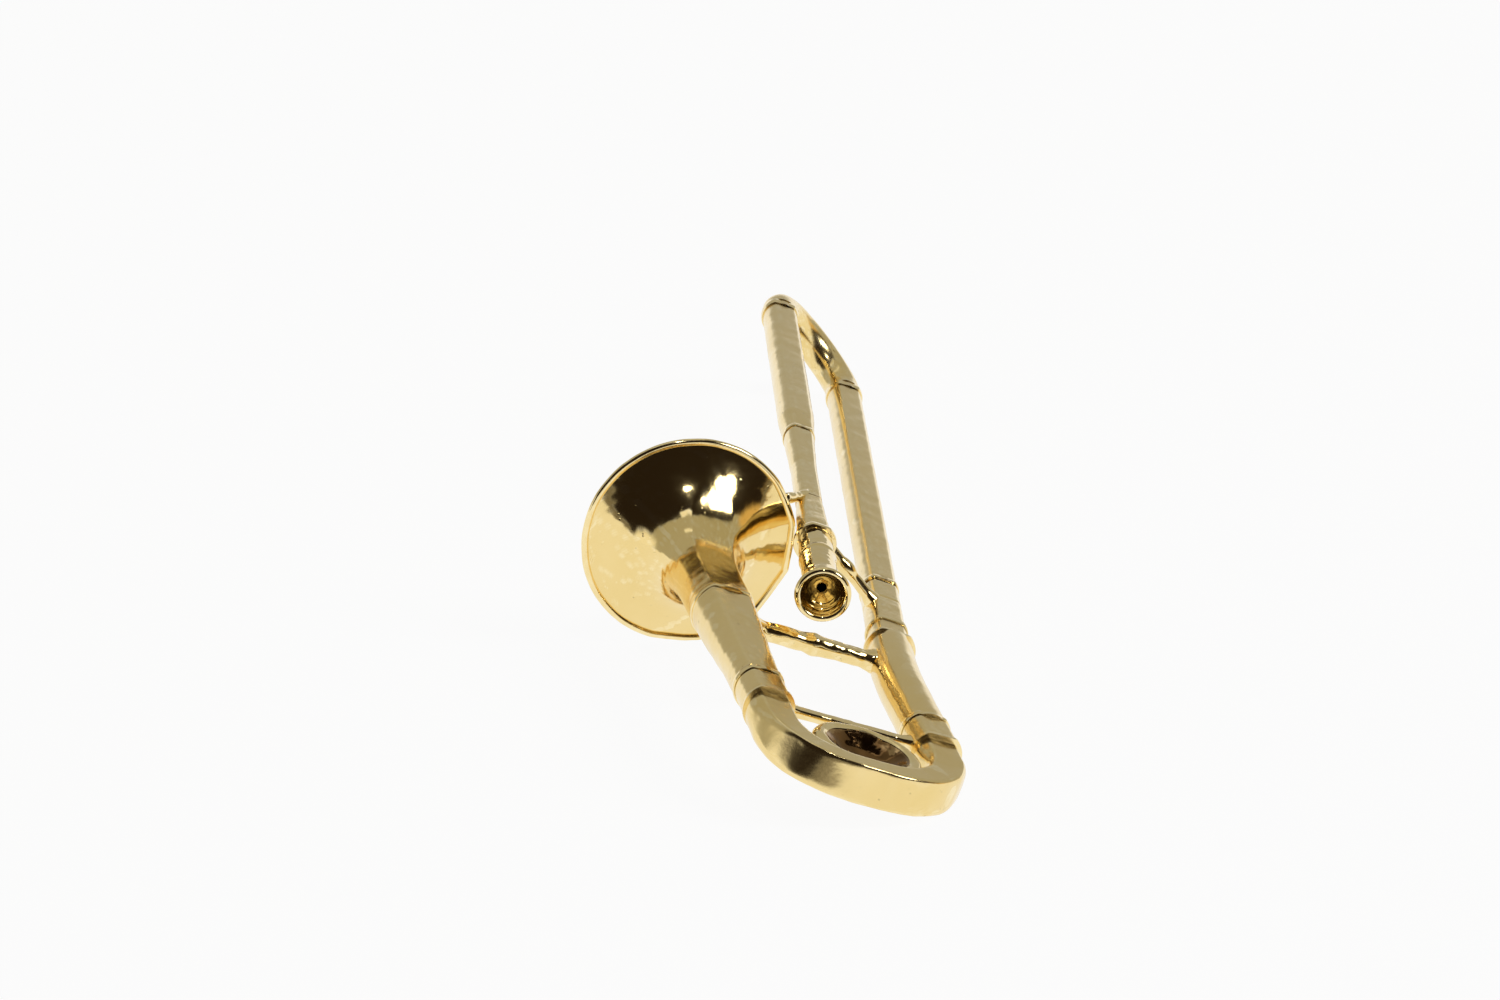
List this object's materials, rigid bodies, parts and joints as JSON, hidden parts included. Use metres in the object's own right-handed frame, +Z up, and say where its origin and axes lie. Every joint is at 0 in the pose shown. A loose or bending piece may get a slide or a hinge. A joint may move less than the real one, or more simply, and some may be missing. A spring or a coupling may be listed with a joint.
{
  "type": "miniature trombone",
  "caption": "Miniature polished brass slide trombone with flared bell, sliding tubes, tuning slide with oval balance weight, and a removable cup mouthpiece.",
  "frame": {"origin": "centre of the footprint, on the surface the instrument lies on", "axes": "+X along the instrument from the tuning bow towards the far end of the hand slide, +Y towards the bell side, +Z up"},
  "size_m": [0.0525, 0.0164, 0.0083],
  "materials": {
    "polished_brass": "polished, warm gold-coloured casting"
  },
  "bodies": {
    "root": {"bell_flare": "polished_brass", "bell_rim_bead": "polished_brass", "bell_joint_ring": "polished_brass", "bell_tube": "polished_brass", "bell_end_ring": "polished_brass", "neckpipe": "polished_brass", "neck_end_ring": "polished_brass", "front_brace": "polished_brass", "slide_receiver": "polished_brass", "slide_collar": "polished_brass", "neck_cork_barrel": "polished_brass", "neck_inner_tube": "polished_brass", "mouthpiece_receiver": "polished_brass", "mouthpiece_receiver_ring": "polished_brass", "mouth_inner_tube": "polished_brass", "inner_slide_brace": "polished_brass", "rim_strut": "polished_brass"},
    "hand_slide": {"neck_outer_tube": "polished_brass", "mouth_outer_tube": "polished_brass", "neck_outer_end_ring": "polished_brass", "mouth_outer_end_ring": "polished_brass", "neck_bow_ferrule": "polished_brass", "mouth_bow_ferrule": "polished_brass", "slide_bow": "polished_brass"},
    "tuning_slide": {"bell_tuning_ferrule": "polished_brass", "neck_tuning_ferrule": "polished_brass", "bell_tuning_leg": "polished_brass", "neck_tuning_leg": "polished_brass", "tuning_bow": "polished_brass", "rear_brace": "polished_brass", "balance_weight": "polished_brass"},
    "mouthpiece": {"mouthpiece": "polished_brass"}
  },
  "joints": [
    {"name": "hand_slide_travel", "type": "slide", "parent": "root", "child": "hand_slide", "axis": [0.9893, -0.1446, -0.018], "range_m": [0, 0.014]},
    {"name": "tuning_slide_travel", "type": "slide", "parent": "root", "child": "tuning_slide", "axis": [-0.9985, 0, -0.0541], "range_m": [0, 0.0022]},
    {"name": "mouthpiece_removal", "type": "slide", "parent": "root", "child": "mouthpiece", "axis": [-0.9893, 0.1446, 0.018], "range_m": [0, 0.006]}
  ]
}
